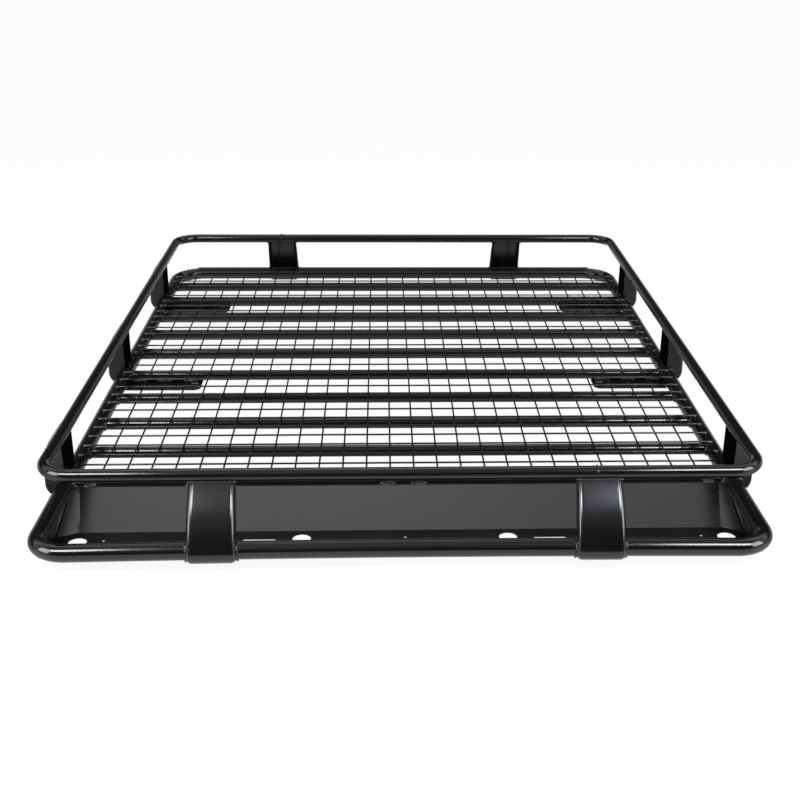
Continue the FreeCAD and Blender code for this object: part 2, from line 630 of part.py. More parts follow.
# ---------------------------------------------------------------- mounting plates
# Flat plates under the crossbars, welded to the side tube and to the crossbar above,
# each with a slot for the bolt of a roof leg.
def plate_outline(sketch, side, y, y_cell):
    """Rectangle with its two inner corners rounded."""
    inner, outer = side * size("plate_inner"), side * size("plate_outer")
    corner = size("plate_corner")
    width = size("plate_width")
    front, rear = y - width / 2, y + width / 2
    straight = inner + side * corner
    to_middle = corner * (1 - math.sqrt(0.5))
    front_long, front_short = Vector(straight, front, 0), Vector(inner, front + corner, 0)
    rear_short, rear_long = Vector(inner, rear - corner, 0), Vector(straight, rear, 0)
    outer_front, outer_rear = Vector(outer, front, 0), Vector(outer, rear, 0)
    middle_x = inner + side * to_middle
    sketch.addGeometry(Part.LineSegment(outer_front, front_long))
    sketch.addGeometry(arc_through(
        front_long, Vector(middle_x, front + to_middle, 0), front_short))
    sketch.addGeometry(Part.LineSegment(front_short, rear_short))
    sketch.addGeometry(arc_through(
        rear_short, Vector(middle_x, rear - to_middle, 0), rear_long))
    sketch.addGeometry(Part.LineSegment(rear_long, outer_rear))
    sketch.addGeometry(Part.LineSegment(outer_rear, outer_front))
    join_tangent(sketch, [(0, 1, front_long), (1, 2, front_short),
                          (2, 3, rear_short), (3, 4, rear_long)])
    sketch.addConstraint(Sketcher.Constraint("Coincident", 4, 2, 5, 1))
    sketch.addConstraint(Sketcher.Constraint("Coincident", 5, 2, 0, 1))
    for direction, geo in (("Horizontal", 0), ("Vertical", 2), ("Horizontal", 4),
                           ("Vertical", 5)):
        sketch.addConstraint(Sketcher.Constraint(direction, geo))
    bind_radius(sketch, 1, corner, "Sizes.plate_corner")
    bind_radius(sketch, 3, corner, "Sizes.plate_corner")
    bind_from_origin(sketch, "X", 2, 1, inner, "Sizes.plate_inner")
    bind_from_origin(sketch, "X", 5, 1, outer, "Sizes.plate_outer")
    bind(sketch, Sketcher.Constraint("DistanceY", 5, 2, 5, 1, width), "Sizes.plate_width")
    # the edge further from the middle of the basket
    far_point, far_y = (2, front) if y < 0 else (1, rear)
    bind_from_origin(sketch, "Y", 5, far_point, far_y,
                     "Sizes.%s + Sizes.plate_width / 2" % y_cell)


def mounting_plate(label, side, y, y_cell):
    body = doc.addObject("PartDesign::Body", label)
    outline = sketch_on(body, label + "_outline", "XY_Plane", "Sizes.plate_level")
    plate_outline(outline, side, y, y_cell)
    pad = body.newObject("PartDesign::Pad", label + "_plate")
    pad.Profile = outline
    pad.setExpression("Length", "Sizes.plate_thick")
    doc.recompute()
    slot = sketch_on(body, label + "_slot", "XY_Plane", "Sizes.plate_level")
    slot_outline(slot, side, "plate_slot", y, y_cell)
    cut_through(body, label + "_slot_cut", slot)
    pieces.append(body)


for tag, sign in (("front", -1), ("rear", 1)):
    y_cell = "plate_%s_y" % tag
    mounting_plate("mounting_plate_left_" + tag, -1, sign * size(y_cell), y_cell)
    mounting_plate("mounting_plate_right_" + tag, 1, sign * size(y_cell), y_cell)

# ---------------------------------------------------------------- wind deflector
# One folded sheet: a slope from the front crossbar down to a floor behind the front
# tube, and a lip that rises to the underside of that tube. (y, z) of the upper face.
PAN_TOP = (-650.6, 42.65)
PAN_FOLD = (-771.5, 2.0)
PAN_LIP = (-872.0, 2.0)
PAN_END = (-909.0, 24.4)
# The cut that narrows the pan runs out to these, behind and beside it.
TRIM_REAR_Y = -630.0
TRIM_OUTER_X = 700.0


def folded_section(points, thick):
    """Closed outline of a folded sheet below its upper-face line, which runs forwards."""
    normals = []
    for first, second in zip(points[:-1], points[1:]):
        along = (second - first).normalize()
        normals.append(Vector(-along.y, along.x, 0))
    lower = []
    for i, point in enumerate(points):
        before = normals[max(i - 1, 0)]
        after = normals[min(i, len(normals) - 1)]
        mitre = (before + after).normalize()
        lower.append(point + mitre * (thick / mitre.dot(before)))
    return points + lower[::-1]


def pan_hole(sketch, x, x_expression, y_cell, dia_cell):
    y, dia = -size(y_cell), size(dia_cell)
    circle = sketch.addGeometry(Part.Circle(Vector(x, y, 0), Vector(0, 0, 1), dia / 2))
    bind(sketch, Sketcher.Constraint("Diameter", circle, dia), "Sizes." + dia_cell)
    bind_from_origin(sketch, "Y", circle, 3, y, "Sizes." + y_cell)
    bind_from_origin(sketch, "X", circle, 3, x, x_expression)


def wind_deflector():
    pan = doc.addObject("PartDesign::Body", "wind_deflector")
    section = sketch_on(pan, "pan_section", "YZ_Plane")
    upper = [Vector(y, z, 0) for y, z in (PAN_TOP, PAN_FOLD, PAN_LIP, PAN_END)]
    closed_outline(section, folded_section(upper, size("pan_sheet")))
    pad = pan.newObject("PartDesign::Pad", "pan_pad")
    pad.Profile = section
    pad.Midplane = True
    pad.setExpression("Length", "2 * Sizes.pan_half_width")
    doc.recompute()

    # the slope narrows towards the floor; the end plates close the corners
    trim = sketch_on(pan, "pan_trim", "XY_Plane")
    corner_y = -size("pan_corner_y")
    for side in (-1, 1):
        closed_outline(trim, [Vector(side * x, y, 0) for x, y in (
            (size("pan_top_half"), TRIM_REAR_Y),
            (size("pan_top_half"), PAN_TOP[0]),
            (size("pan_fold_half"), PAN_FOLD[0]),
            (size("pan_half_width"), corner_y),
            (TRIM_OUTER_X, corner_y),
            (TRIM_OUTER_X, TRIM_REAR_Y))])
    cut_through(pan, "pan_trim_cut", trim)

    holes = sketch_on(pan, "pan_holes", "XY_Plane")
    shift = size("pan_shift")
    for side, sign in ((-1, "-"), (1, "+")):
        for x_cell, y_cell, dia_cell in (
                ("pan_hole_outer_x", "pan_outer_y", "pan_hole_dia"),
                ("pan_hole_inner_x", "pan_inner_y", "pan_hole_dia"),
                ("pan_small_x", "pan_small_y", "pan_small_dia")):
            pan_hole(holes, shift + side * size(x_cell),
                     "Sizes.%s %s Sizes.pan_shift" % (x_cell, sign), y_cell, dia_cell)
    pan_hole(holes, shift, "Sizes.pan_shift", "pan_mid_y", "pan_small_dia")
    for side, sign in ((-1, "-"), (1, "+")):
        slot_outline(holes, side, "pan_slot", -size("pan_slot_y"), "pan_slot_y",
                     shift, " %s Sizes.pan_shift" % sign)
    cut_through(pan, "pan_hole_cut", holes)
    pieces.append(pan)


wind_deflector()

# ---------------------------------------------------------------- deflector end plates
# A sloping facet that closes the pan's rear corner, and a side lip that rises from the
# floor's end to the side tube.
FACET_GAP = 0.15            # between facet and pan
FACET_CORNER_GAP = 0.45     # the same at the floor's full-width corner
FACET_OUTER = (679.0, -655.0)   # (x, y) of the facet's rear outer corner
LIP_GAP = 0.2               # between the pan's end and the lip
LIP_TOP = 24.6
LIP_REAR_Y = -672.0
LIP_LOW_REAR = (-690.0, 20.0)   # (y, z) where the lip's rising lower edge ends
SIDE_NOTCH_FRONT_Y = -900.0
SIDE_NOTCH_LENGTH = 400.0
# Bridge between facet and lip: inner x, width, (y, z) outline.
BRIDGE_X = 680.0
BRIDGE_WIDTH = 5.0
BRIDGE_OUTLINE = [(-700.0, 22.0), (-700.0, 19.0), (-790.0, 0.6), (-790.0, 2.6)]


def slab_across(x, outline, width):
    """Slab with a (y, z) outline at x, extruded by width along X."""
    points = [Vector(x, y, z) for y, z in outline]
    return Part.Face(Part.makePolygon(points + [points[0]])).extrude(Vector(width, 0, 0))


def corner_facet(side):
    top = Vector(side * (size("pan_top_half") + FACET_GAP), PAN_TOP[0], PAN_TOP[1])
    fold = Vector(side * (size("pan_fold_half") + FACET_GAP),
                  PAN_FOLD[0] + FACET_GAP, PAN_FOLD[1])
    corner = Vector(side * size("pan_half_width"),
                    -size("pan_corner_y") + FACET_CORNER_GAP, PAN_FOLD[1])
    normal = (fold - top).cross(corner - top)
    normal.normalize()
    if normal.z < 0:
        normal = normal * -1
    # the fourth corner lies in the plane of the other three
    outer = Vector(side * FACET_OUTER[0], FACET_OUTER[1], 0)
    outer.z = top.z - ((outer.x - top.x) * normal.x + (outer.y - top.y) * normal.y) / normal.z
    face = Part.Face(Part.makePolygon([top, outer, corner, fold, top]))
    return face.extrude(normal * -size("pan_sheet"))


def end_plate(label, side):
    lip_outline = [(LIP_REAR_Y, LIP_TOP), (PAN_LIP[0], LIP_TOP), (PAN_LIP[0], 0.0),
                   (-size("pan_corner_y"), 0.0), LIP_LOW_REAR]
    lip = slab_across(side * (size("pan_half_width") + LIP_GAP), lip_outline,
                      side * size("pan_sheet"))
    shape = corner_facet(side).fuse(lip)
    # only needed where the facet stops short of the lip
    if len(shape.Solids) > 1:
        shape = shape.fuse(slab_across(side * BRIDGE_X, BRIDGE_OUTLINE, side * BRIDGE_WIDTH))
    side_tube = Part.makeCylinder(
        size("frame_tube_dia") / 2 + size("tube_notch"), SIDE_NOTCH_LENGTH,
        Vector(side * size("frame_half_width"), SIDE_NOTCH_FRONT_Y, size("frame_level")),
        Vector(0, 1, 0))
    shape = shape.removeSplitter().cut(side_tube)
    plate = doc.addObject("Part::Feature", label)
    plate.Shape = max(shape.Solids, key=lambda solid: solid.Volume)
    pieces.append(plate)


end_plate("deflector_end_plate_left", -1)
end_plate("deflector_end_plate_right", 1)


# ---------------------------------------------------------------- deflector tabs
def deflector_tab(label, centre_x):
    """Short tab carrying the slope on from the deflector's top edge to the crossbar."""
    tab = doc.addObject("Part::Wedge", label)
    tab.Xmin = tab.X2min = tab.Ymin = tab.Zmin = 0.0
    for name, expression in (
            ("Xmax", "Sizes.tab_width"),
            ("X2max", "Sizes.tab_width"),
            ("Ymax", "Sizes.tab_depth"),
            ("Zmax", "Sizes.tab_thick"),
            ("Z2min", "Sizes.tab_rise"),
            ("Z2max", "Sizes.tab_rise + Sizes.tab_thick"),
            ("Placement.Base.x", centre_x + " - Sizes.tab_width / 2"),
            ("Placement.Base.y",
             "-Sizes.bar_front - Sizes.bar_dia / 2 - Sizes.tab_gap - Sizes.tab_depth"),
            ("Placement.Base.z", "Sizes.bar_level - Sizes.tab_drop")):
        tab.setExpression(name, expression)
    pieces.append(tab)


deflector_tab("deflector_tab_left", "-Sizes.tab_left_x")
deflector_tab("deflector_tab_right", "Sizes.tab_right_x")

doc.recompute()

# ---------------------------------------------------------------- state and output
for obj in doc.Objects:
    bad = [state for state in obj.State if state in ("Invalid", "Error")]
    if bad:
        raise RuntimeError("%s is %s" % (obj.Label, bad))
for obj in pieces:
    if obj.Shape.isNull() or not obj.Shape.isValid() or obj.Shape.Volume <= 0:
        raise RuntimeError("%s has no valid shape" % obj.Label)

os.makedirs("parts", exist_ok=True)
for obj in pieces:
    obj.Shape.exportStep("parts/%s.step" % obj.Label)
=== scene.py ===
"""Black powder-coated cargo basket with a mesh floor and a wind deflector.

Metres, +Z up. X runs across the basket (right is +X), the front with the deflector faces -Y.
A lower ring of tube carries crossbars and floor mesh; uprights hold a thinner rail ring above it.
"""
import math
from types import SimpleNamespace

import bpy
import numpy as np
from mathutils import Matrix, Vector


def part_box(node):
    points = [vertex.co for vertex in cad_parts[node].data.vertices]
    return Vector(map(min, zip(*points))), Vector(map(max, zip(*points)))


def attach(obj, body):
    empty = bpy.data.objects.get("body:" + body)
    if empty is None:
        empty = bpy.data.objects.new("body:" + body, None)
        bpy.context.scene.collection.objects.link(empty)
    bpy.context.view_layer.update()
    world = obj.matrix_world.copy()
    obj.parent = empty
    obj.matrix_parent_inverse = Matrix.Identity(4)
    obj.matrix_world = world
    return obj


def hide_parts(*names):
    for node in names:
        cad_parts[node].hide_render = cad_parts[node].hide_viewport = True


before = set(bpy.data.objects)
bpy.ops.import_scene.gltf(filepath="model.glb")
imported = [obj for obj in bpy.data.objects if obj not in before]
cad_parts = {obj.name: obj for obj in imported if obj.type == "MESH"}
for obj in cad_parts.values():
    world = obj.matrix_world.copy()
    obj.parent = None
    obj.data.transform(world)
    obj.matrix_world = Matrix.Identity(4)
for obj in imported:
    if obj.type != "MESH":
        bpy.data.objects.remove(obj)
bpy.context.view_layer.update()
RNG = np.random.default_rng(20)
scene = bpy.context.scene
UP = np.array([0.0, 0.0, 1.0])


# ------------------------------------------------------------------ sizes, from the CAD pieces
def extent(node):
    """Lowest and highest corner of a CAD piece."""
    low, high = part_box(node)
    return np.array(low), np.array(high)


def ring_sizes(piece, **bends):
    """Tube radius and centre-line limits of a ring made of a left and a right half."""
    low_left, high_left = extent(piece + "_left")
    low_right, high_right = extent(piece + "_right")
    low, high = np.minimum(low_left, low_right), np.maximum(high_left, high_right)
    radius = (high[2] - low[2]) / 2
    return SimpleNamespace(radius=radius, z=(high[2] + low[2]) / 2, half_x=high[0] - radius,
                           front=low[1] + radius, rear=high[1] - radius, **bends)


# corner bend radii, and how far the middle of the front run bows forward
FRAME = ring_sizes("lower_frame_tube", bend_front=0.0625, bend_rear=0.090, bow=0.0075)
RAIL = ring_sizes("upper_rail_tube", bend_front=0.063, bend_rear=0.063, bow=0.0)
RISE = RAIL.z - FRAME.z
BOW_RADIUS = (((FRAME.half_x - FRAME.bend_front) ** 2 + FRAME.bow ** 2) / (2 * FRAME.bow)
              - FRAME.bend_front)
# where the left and right halves of both rings meet, and half the gap between them
JOINT_FRONT_X = extent("lower_frame_tube_left")[1][0]
JOINT_REAR_X = extent("lower_frame_tube_right")[0][0]
JOINT_GAP = 0.0002

BARS = ["crossbar_front"] + ["crossbar_%d" % i for i in range(2, 10)] + ["crossbar_rear"]
bar_low, bar_high = extent("crossbar_front")
BAR_RADIUS = (bar_high[2] - bar_low[2]) / 2
BAR_Z = (bar_high[2] + bar_low[2]) / 2
BAR_Y = [float((extent(n)[0][1] + extent(n)[1][1]) / 2) for n in BARS]
BAR_CLEARANCE = 0.00015               # between a crossbar's coped end and the frame tube
WIRE_RADIUS = 0.002


def front_run_y(x):
    """Centre line of the frame's bowed front run at x."""
    return FRAME.front + FRAME.bow - BOW_RADIUS + np.sqrt(BOW_RADIUS ** 2 - np.square(x))


def inner_face_x(z, clearance=0.0, least=0.0):
    """Distance from the middle to the inner face of the side tube at height z."""
    square = (FRAME.radius + clearance) ** 2 - (z - FRAME.z) ** 2
    return FRAME.half_x - np.sqrt(np.maximum(square, least))


# ------------------------------------------------------------------ paths and skins
def unit(vectors):
    return vectors / np.linalg.norm(vectors, axis=-1, keepdims=True)


def circle(seg):
    return np.arange(seg) * 2 * math.pi / seg


def arc_points(centre, radius, start, end, steps):
    """Flat arc between two angles in degrees."""
    angle = np.radians(np.linspace(start, end, steps))
    x, y = centre[0] + radius * np.cos(angle), centre[1] + radius * np.sin(angle)
    return np.stack([x, y, np.full(steps, centre[2])], 1)


def line_points(start, end, step=0.03):
    start, end = np.asarray(start, float), np.asarray(end, float)
    count = max(2, int(np.linalg.norm(end - start) / step) + 1)
    return start + (end - start) * np.linspace(0, 1, count)[:, None]


def join(*parts):
    """Paths end to end, without doubled points."""
    out = [parts[0]]
    for part in parts[1:]:
        if np.linalg.norm(out[-1][-1] - part[0]) < 1e-7:
            part = part[1:]
        out.append(part)
    return np.concatenate(out)


def resample(points, step):
    """Even stations along a path, and their distance from its start."""
    points = np.asarray(points, float)
    lengths = np.linalg.norm(np.diff(points, axis=0), axis=1)
    travelled = np.concatenate([[0], np.cumsum(lengths)])
    stations = np.linspace(0, travelled[-1], max(6, int(travelled[-1] / step) + 1))
    return np.stack([np.interp(stations, travelled, points[:, i]) for i in range(3)], 1), stations


def sweep(path, radius, seg, normal=UP, closed=False):
    """Round sections along a path. radius is one value or one per point."""
    path = np.asarray(path, float)
    if closed:
        tangent = np.roll(path, -1, 0) - np.roll(path, 1, 0)
    else:
        tangent = np.gradient(path, axis=0)
    tangent = unit(tangent)
    side = unit(np.cross(tangent, np.broadcast_to(np.asarray(normal, float), path.shape)))
    top = np.cross(side, tangent)
    angle = circle(seg)[None, :, None]
    ring = side[:, None, :] * np.cos(angle) + top[:, None, :] * np.sin(angle)
    return path[:, None, :] + ring * np.broadcast_to(radius, len(path))[:, None, None]


class Skin:
    """Gathers skinned shapes into one mesh object."""

    def __init__(self):
        self.verts, self.faces, self.count = [], [], 0

    def grid(self, rings, closed=False):
        """Skin over rings (stations, points, 3), capped unless it closes on itself."""
        stations, seg = rings.shape[:2]
        faces = []
        for i in range(stations if closed else stations - 1):
            here, there = i * seg, ((i + 1) % stations) * seg
            for j in range(seg):
                k = (j + 1) % seg
                faces.append((here + j, here + k, there + k, there + j))
        if not closed:
            faces.append(tuple(range(seg - 1, -1, -1)))
            faces.append(tuple((stations - 1) * seg + j for j in range(seg)))
        self.verts.append(rings.reshape(-1, 3))
        self.faces.extend(tuple(i + self.count for i in face) for face in faces)
        self.count += stations * seg

    def build(self, name, material, angle=50.0, stands=()):
        """Make the object. angle is the sharp-edge limit, stands the CAD pieces it replaces."""
        mesh = bpy.data.meshes.new(name)
        mesh.from_pydata(np.concatenate(self.verts).tolist(), [], self.faces)
        mesh.validate()
        mesh.update()
        mesh.polygons.foreach_set("use_smooth", [True] * len(mesh.polygons))
        mesh.set_sharp_from_angle(angle=math.radians(angle))
        ob = bpy.data.objects.new(name, mesh)
        scene.collection.objects.link(ob)
        mesh.materials.append(material)
        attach(ob, "root")
        if stands:
            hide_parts(*stands)


class Weld(Skin):
    """Beads and lumps of weld metal."""

    def bead(self, points, radius, normal=UP, closed=False, wander=0.0003):
        """A hand-laid bead: overlapping ripples, uneven width, tapered ends."""
        ripple, drift = 0.0042, 0.011          # ripple pitch, spacing of the slow changes
        path, along = resample(points, step=0.0011)
        length = along[-1]
        knots = max(4, int(length / drift))
        slow = np.interp(along, np.linspace(0, length, knots), RNG.normal(0, 1, knots))
        phase = 2 * math.pi * along / ripple + 0.9 * slow
        radii = radius * (1 + 0.13 * (np.abs(np.sin(phase / 2)) - 0.5) * 2 + 0.08 * slow)
        if closed:
            # the start is thicker, and the doubled last point goes
            blend = np.clip(along / 0.004, 0, 1)
            radii = (radii * blend + radius * 1.15 * (1 - blend))[:-1]
            path = path[:-1]
        else:
            radii *= np.clip(0.45 + np.minimum(along, length - along) / 0.003, 0, 1)
        path = path + RNG.normal(0, wander / 3, path.shape)
        radii = np.maximum(radii, radius * 0.3)
        self.grid(sweep(path, radii, 10, normal, closed), closed)

    def blob(self, centre, radius, squash=(1, 1, 1)):
        """A small rounded lump."""
        rows, seg = 6, 10
        angle = circle(seg)
        rings = np.stack([np.stack([np.sin(t) * np.cos(angle), np.sin(t) * np.sin(angle),
                                    np.full(seg, np.cos(t))], 1)
                          for t in np.linspace(0.12, math.pi - 0.12, rows)])
        rings = rings * (1 + RNG.normal(0, 0.05, (rows, seg, 1)))
        self.grid(np.asarray(centre, float) + rings[::-1] * radius * np.asarray(squash, float))

    def build(self, name):
        super().build(name, COAT_WELD, angle=60.0)


# ------------------------------------------------------------------ materials
class Shader:
    """Adds nodes to an emptied tree. Inputs take a value, a colour tuple or a socket."""

    def __init__(self, owner):
        owner.use_nodes = True
        self.tree = owner.node_tree
        self.tree.nodes.clear()

    def node(self, kind, inputs, **settings):
        node = self.tree.nodes.new("ShaderNode" + kind)
        for key, value in settings.items():
            setattr(node, key, value)
        for key, value in inputs.items():
            if isinstance(value, bpy.types.NodeSocket):
                self.tree.links.new(value, node.inputs[key])
            else:
                colour = isinstance(value, tuple)
                node.inputs[key].default_value = (*value, 1) if colour else value
        return node.outputs

    def math(self, operation, *values, clamp=False):
        return self.node("Math", dict(enumerate(values)), operation=operation, use_clamp=clamp)[0]

    def mix(self, factor, first, second):
        return self.node("Mix", {0: factor, 6: first, 7: second}, data_type="RGBA")[2]

    def map_range(self, value, **limits):
        inputs = {key.replace("_", " ").title(): limit for key, limit in limits.items()}
        return self.node("MapRange", {"Value": value, **inputs})[0]

    def ramp(self, factor, stops):
        """Grey ramp from (position, level) stops."""
        outputs = self.node("ValToRGB", {0: factor})
        elements = outputs[0].node.color_ramp.elements
        while len(elements) < len(stops):
            elements.new(0.5)
        for element, (position, grey) in zip(elements, stops):
            element.position = position
            element.color = (grey, grey, grey, 1)
        return outputs[0]


def powder_coat(name, base, rough, peel, tint, edge=0.0, scale=1.0):
    """Black powder coat: orange peel, cloudy gloss, fine dust, slightly duller edges.

    base and tint give the colour, peel the bump strength, edge the rounding radius of edges
    and scale the fineness of the gloss clouds.
    """
    mat = bpy.data.materials.new(name)
    sh = Shader(mat)
    geo = sh.node("NewGeometry", {})

    def noise(freq, detail, roughness):
        return sh.node("TexNoise", {"Scale": freq, "Detail": detail, "Roughness": roughness,
                                    "Vector": geo["Position"]})["Fac"]

    cloud = noise(freq=9.0 * scale, detail=4.0, roughness=0.55)
    fine = noise(freq=900.0, detail=2.0, roughness=0.6)
    dust = sh.ramp(noise(freq=260.0, detail=5.0, roughness=0.75), [(0.62, 0.0), (0.80, 1.0)])
    colour = sh.mix(cloud, tuple(base * t for t in tint),
                    tuple(min(1.0, base * 1.5 * t) for t in tint))
    # dust only on faces that look up
    facing = sh.node("SeparateXYZ", {0: geo["Normal"]})
    upward = sh.math("MULTIPLY", sh.math("MAXIMUM", facing[2], 0.0), 0.10)
    colour = sh.mix(sh.math("MULTIPLY", dust, upward), colour, (0.22, 0.21, 0.20))
    # roughness: cloudy round its middle value, more under dust and along edges
    cloudy = sh.math("ADD", sh.math("MULTIPLY", cloud, 0.10), rough - 0.05)
    dusty = sh.math("MULTIPLY", sh.math("MULTIPLY", dust, upward), 1.2)
    dusty = sh.math("ADD", cloudy, dusty)
    edges = sh.ramp(geo["Pointiness"], [(0.52, 0.0), (0.62, 1.0)])
    roughness = sh.math("ADD", dusty, sh.math("MULTIPLY", edges, 0.05), clamp=True)
    # orange peel with a finer grain on it
    coarse = sh.math("MULTIPLY", noise(freq=420.0, detail=1.5, roughness=0.4), 1.0)
    height = sh.math("ADD", coarse, sh.math("MULTIPLY", fine, 0.25))
    bump = {"Strength": peel, "Distance": 0.00018, "Height": height}
    if edge:
        bump["Normal"] = sh.node("Bevel", {"Radius": edge}, samples=6)[0]
    bsdf = sh.node("BsdfPrincipled", {"Base Color": colour, "Roughness": roughness, "IOR": 1.52,
                                      "Normal": sh.node("Bump", bump)[0]})
    sh.node("OutputMaterial", {0: bsdf[0]})
    return mat


COOL_TINT = (0.95, 0.96, 1.10)
COAT = powder_coat("black_powder_coat_gloss", base=0.0019, rough=0.13, peel=0.16, tint=COOL_TINT)
COAT_SHEET = powder_coat("black_powder_coat_sheet", base=0.0019, rough=0.19, peel=0.16,
                         tint=COOL_TINT, edge=0.0003)
COAT_WIRE = powder_coat("black_powder_coat_wire", base=0.0022, rough=0.2, peel=0.12,
                        tint=(0.97, 0.98, 1.05))
COAT_WELD = powder_coat("black_powder_coat_weld", base=0.0024, rough=0.15, peel=0.3,
                        tint=COOL_TINT, scale=6.0)


# ------------------------------------------------------------------ tubes, bars and wires
def ring_half(ring, side):
    """Centre line of half a ring, from the front joint round one side to the rear joint."""
    joint_front, joint_rear = (x + JOINT_GAP * side for x in (JOINT_FRONT_X, JOINT_REAR_X))
    front_x, rear_x = (side * (ring.half_x - bend) for bend in (ring.bend_front, ring.bend_rear))
    front_y, rear_y = ring.front + ring.bend_front, ring.rear - ring.bend_rear
    lean = 0.0                         # extra turn of the front corner where it meets the bow
    if ring.bow:
        lean = math.asin((ring.half_x - ring.bend_front) / (BOW_RADIUS + ring.bend_front))
        x = np.linspace(joint_front, side * BOW_RADIUS * math.sin(lean), 36)
        front = np.stack([x, front_run_y(x), np.full(36, ring.z)], 1)
    else:
        front = line_points((joint_front, ring.front, ring.z), (front_x, ring.front, ring.z))
    return join(
        front,
        arc_points((front_x, front_y, ring.z), ring.bend_front,
                   -90 - side * math.degrees(lean), -90 + 90 * side, 25),
        line_points((side * ring.half_x, front_y, ring.z), (side * ring.half_x, rear_y, ring.z)),
        arc_points((rear_x, rear_y, ring.z), ring.bend_rear, 90 - 90 * side, 90, 29),
        line_points((rear_x, ring.rear, ring.z), (joint_rear, ring.rear, ring.z)))


def build_rings():
    for side, word in ((1, "right"), (-1, "left")):
        for ring, name, node, seg in ((FRAME, "frame_tube_", "lower_frame_tube_", 64),
                                      (RAIL, "rail_tube_", "upper_rail_tube_", 48)):
            tube = Skin()
            tube.grid(sweep(ring_half(ring, side), ring.radius, seg))
            tube.build(name + word, COAT, stands=(node + word,))


def build_crossbars():
    """Bars with ends coped to the side tubes."""
    angle = circle(48)
    for name, bar_y in zip(BARS, BAR_Y):
        y, z = bar_y + BAR_RADIUS * np.cos(angle), BAR_Z + BAR_RADIUS * np.sin(angle)
        end_x = inner_face_x(z, BAR_CLEARANCE)
        bar = Skin()
        bar.grid(np.stack([np.stack([end_x * s, y, z], 1) for s in np.linspace(-1, 1, 41)]))
        bar.build("bar_" + name, COAT, stands=(name,))


def build_wires(name, node, along):
    """Wires running along axis 0 or 1, as (place across, z, start, end) for each wire."""
    across = 1 - along
    chamfer, end_scale = 0.0004, 0.78
    corners = np.array([v.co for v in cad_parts[node].data.vertices])
    # a gap across the run separates one wire from the next
    order = np.argsort(corners[:, across])
    breaks = np.where(np.diff(corners[order, across]) > 0.02)[0] + 1
    skin, places = Skin(), []
    for group in np.split(order, breaks):
        low, high = corners[group].min(0), corners[group].max(0)
        middle = (low + high) / 2
        start, end = low[along], high[along]
        inner = np.linspace(start + 0.02, end - 0.02, max(3, int((end - start) / 0.05)))
        stations = np.concatenate([[start, start + chamfer], inner, [end - chamfer, end]])
        radii = np.full(len(stations), WIRE_RADIUS)
        radii[0] = radii[-1] = WIRE_RADIUS * end_scale
        path = np.tile(middle, (len(stations), 1))
        path[:, along] = stations
        skin.grid(sweep(path, radii, 16))
        places.append((middle[across], middle[2], start, end))
    skin.build(name, COAT_WIRE, stands=(node,))
    return places


# ------------------------------------------------------------------ welds
def weld_ring_joints():
    """Butt joints of the two rings, each with two lumps on top."""
    sink = 0.0004                      # bead centre below the tube's surface
    angle = np.radians(np.linspace(-90, 270, 80))
    weld = Weld()
    for x, y, ring in ((JOINT_FRONT_X, front_run_y(JOINT_FRONT_X), FRAME),
                       (JOINT_REAR_X, FRAME.rear, FRAME),
                       (JOINT_FRONT_X, RAIL.front, RAIL),
                       (JOINT_REAR_X, RAIL.rear, RAIL)):
        reach, top = ring.radius - sink, ring.z + ring.radius
        points = np.stack([np.full(80, x), y + reach * np.cos(angle),
                           ring.z + reach * np.sin(angle)], 1)
        weld.bead(points, radius=0.0013, normal=(1, 0, 0), closed=True, wander=0.0001)
        weld.blob((x + 0.0006, y - 0.0025, top + 0.0004), radius=0.0026, squash=(1.0, 1.2, 0.7))
        weld.blob((x - 0.0012, y + 0.0015, top + 0.0006), radius=0.0021, squash=(1.2, 1.0, 0.7))
    weld.build("weld_ring_joints")


# upright half widths at its lowest point, DROP below the frame tube's centre, and at the rail
UPRIGHT_LOW, UPRIGHT_TOP, DROP = 0.0475, 0.044, 0.0206


def upright_half_width(height):
    """Half width at a height above the frame tube's centre."""
    return UPRIGHT_LOW - (UPRIGHT_LOW - UPRIGHT_TOP) * (height + DROP) / (RISE + DROP)


def upright_seat(node):
    """Where an upright stands: base point on the frame tube's centre line, directions out from
    the basket, along the frame tube and along the rail, how far the rail is set in, the web's
    top edge as (outward, height), and the bead's arc on the rail in degrees."""
    low, high = extent(node)
    x, y = ((low + high) / 2)[:2]
    if node.startswith("side"):
        side = 1 if "right" in node else -1
        along = np.array([0.0, 1.0, 0.0])
        return dict(base=np.array([side * FRAME.half_x, y, FRAME.z]),
                    out=np.array([side, 0.0, 0.0]), along=along, rail_along=along,
                    inset=FRAME.half_x - RAIL.half_x,
                    web_top=(0.0036, RISE - 0.0026), rail_arc=(-62, -20))
    if node.startswith("front"):
        y, rail_y, facing = front_run_y(x), RAIL.front, -1.0
        slope = -x / BOW_RADIUS
    else:
        y, rail_y, facing = FRAME.rear, RAIL.rear, 1.0
        slope = 0.0
    inset = abs(rail_y - y)
    return dict(base=np.array([x, y, FRAME.z]), out=np.array([-facing * slope, facing, 0.0]),
                along=np.array([1.0, slope, 0.0]), rail_along=np.array([1.0, 0.0, 0.0]),
                inset=inset, web_top=(-inset + 0.0094, RISE - 0.0105), rail_arc=(-128, -55))


